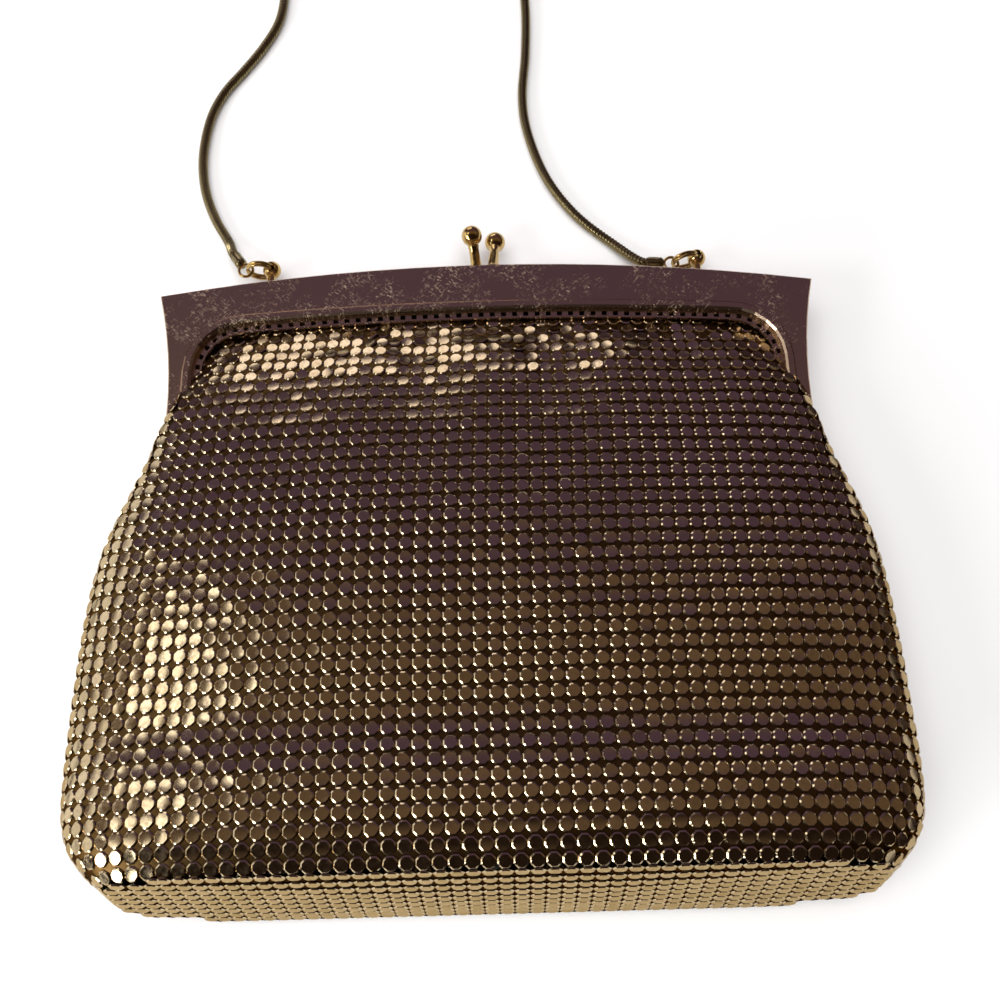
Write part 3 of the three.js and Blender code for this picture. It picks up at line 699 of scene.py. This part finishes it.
# Name, places of the ball and the ring's middle, the ring's axis, and places of the eye's middle
# and the cap's foot and top
handle_ends = (
    ("left", (-58.6, 86.448, 4.9), (-61.74, 86.51, 4.9), (-0.02, -1, 0),
     (-65.76, 86.59, 4.9), (-66.68, 87.98, 4.57), (-69.18, 91.74, 3.66)),
    ("right", (57.8, 86.535, 4.9), (54.72, 85.92, 4.9), (0.196, -0.981, 0),
     (50.77, 85.13, 4.9), (49.14, 85.47, 4.56), (44.73, 86.38, 3.65)),
)
for name, ball, ring_middle, ring_axis, eye, cap_foot, cap_top in handle_ends:
    edge = math.acos(flare_mouth / stud_ball)
    bead = [(stud_bore, -bore_half), (flare_radius, -flare_half)]
    for step in range(13):
        angle = edge * (step / 6 - 1)
        bead.append((stud_ball * math.cos(angle), stud_ball * math.sin(angle)))
    bead += [(flare_radius, flare_half), (stud_bore, bore_half), (stud_bore, -bore_half)]
    post_foot = (ball[0], crown_y - top_arch * (ball[0] / frame_half) ** 2, ball[2])
    stud = joined([turned("handle_ball_" + name, bead, ball, (0, 0, 1), bright_brass),
                   turned("handle_post_" + name, post_lathe, post_foot, (0, 1, 0), bright_brass)])
    fitted(stud, "handle_stud_" + name)

    axis = Vector(ring_axis)
    turns = [bent_ring(turn + name, Vector(ring_middle) + axis * ring_wire * side, axis,
                       ring_radius, ring_wire, gap, bright_brass)
             for turn, side, gap in (("ring_turn_", 1, 3), ("ring_turn_2_", -1, 5))]
    fitted(joined(turns), "jump_ring_" + name)

    heading = Vector(cap_top) - Vector(cap_foot)
    cap = joined([turned("cap_" + name, cap_lathe, cap_foot, heading, chain_brass),
                  bent_ring("eye_" + name, eye, (0, 0, 1), eye_radius, eye_wire, 1, bright_brass)])
    fitted(cap, "chain_cap_" + name)


# Handle: a round snake chain of stamped, wavy brass links pressed close behind one another, laid loose
# on the surface behind the frame and fixed in the two end caps.
chain_radius = 1.4
link_pitch = 1.06
route = (
    (-72, 97.8), (-76.2, 105.4), (-79.7, 115.1), (-81.1, 127), (-79.5, 140.6), (-75.9, 149.4),
    (-70.7, 156.9), (-65.4, 165.2), (-61.2, 174.5), (-59.8, 185), (-60, 200), (-57.5, 217),
    (-48.5, 234), (-34, 243.5), (-17, 242.5), (-1.5, 231), (8, 214), (12.6, 196), (14, 178),
    (13.4, 160.3), (12, 144.5), (12.9, 133), (17.9, 116.3), (25.6, 103.8), (35.2, 94.4),
)

# The chain starts a little inside each cap and leaves along it
ends = []
for *others, cap_foot, cap_top in handle_ends:
    heading = (Vector(cap_top) - Vector(cap_foot)).normalized()
    ends.append([np.array(Vector(cap_top) + heading * past) for past in (-0.3, 1.6)])
way = np.array([*ends[0], *[(x, y, chain_radius) for x, y in route], *ends[1][::-1]])


def rounded_way(points, per_span):
    """A centripetal Catmull-Rom curve through the points."""
    points = np.vstack([2 * points[0] - points[1], points, 2 * points[-1] - points[-2]])
    curve = []
    for p0, p1, p2, p3 in zip(points, points[1:], points[2:], points[3:]):
        a, b, c = (math.sqrt(np.linalg.norm(q - p)) for p, q in ((p0, p1), (p1, p2), (p2, p3)))
        leave = b * ((p1 - p0) / a - (p2 - p0) / (a + b) + (p2 - p1) / b)
        arrive = b * ((p2 - p1) / b - (p3 - p1) / (b + c) + (p3 - p2) / c)
        for t in np.arange(per_span) / per_span:
            curve.append(p1 + leave * t + (3 * (p2 - p1) - 2 * leave - arrive) * t**2
                         + (2 * (p1 - p2) + leave + arrive) * t**3)
    return np.array(curve + [points[-2]])


centre_line = rounded_way(way, 14)
chain_length = float(np.linalg.norm(np.diff(centre_line, axis=0), axis=1).sum())
line_data = bpy.data.curves.new("chain_way", "CURVE")
line_data.dimensions = "3D"
line = line_data.splines.new("POLY")
line.points.add(len(centre_line) - 1)
for point, spot in zip(line.points, centre_line):
    point.co = (*(spot * mm), 1)
chain_way = bpy.data.objects.new("chain_way", line_data)
bpy.context.scene.collection.objects.link(chain_way)

# One link: a short sleeve, waisted at both ends, its rims waved so that each nests in the next
link_throat = 0.76      # radius at its ends, as a share of the chain's
link_wave = 0.16        # depth of the waves, as a share of the pitch
link_count = round(chain_length / link_pitch)
link_pitch = chain_length / link_count
nothing_selected()
bpy.ops.mesh.primitive_circle_add(
    vertices=16, radius=link_throat * chain_radius * mm, rotation=(0, math.pi / 2, 0))
bpy.ops.object.transform_apply()
snake = bpy.context.object
snake.name = snake.data.name = "snake_chain_links"
pick(snake, lambda at: True)
for share, swell in ((0.14, 1.24), (0.26, 1.06), (0.26, 1 / 1.06), (0.14, 1 / 1.24), (0.20, 1.0)):
    bpy.ops.mesh.extrude_region_move(TRANSFORM_OT_translate={"value": (share * link_pitch * mm, 0, 0)})
    bpy.ops.transform.resize(value=(1, swell, swell))
bpy.ops.object.mode_set(mode="OBJECT")
for eighth in range(8):
    facing = eighth * math.pi / 4
    pick(snake, lambda at: math.cos(math.atan2(at.y, at.z) - facing) > 0.98)
    bpy.ops.transform.translate(value=((link_wave if eighth % 2 else -link_wave) * link_pitch * mm, 0, 0))
    bpy.ops.object.mode_set(mode="OBJECT")
repeat = snake.modifiers.new("links", "ARRAY")
repeat.count = link_count
repeat.use_relative_offset = False
repeat.use_constant_offset = True
repeat.constant_offset_displace = (link_pitch * mm, 0, 0)
lay = snake.modifiers.new("way", "CURVE")
lay.object = chain_way
lay.deform_axis = "POS_X"
nothing_selected()
snake.select_set(True)
bpy.context.view_layer.objects.active = snake
bpy.ops.object.modifier_apply(modifier="links")
bpy.ops.object.modifier_apply(modifier="way")
bpy.data.objects.remove(chain_way)
bpy.ops.object.shade_smooth_by_angle(angle=math.radians(38))

snake.data.materials.append(chain_brass)
fitted(snake, "snake_chain")
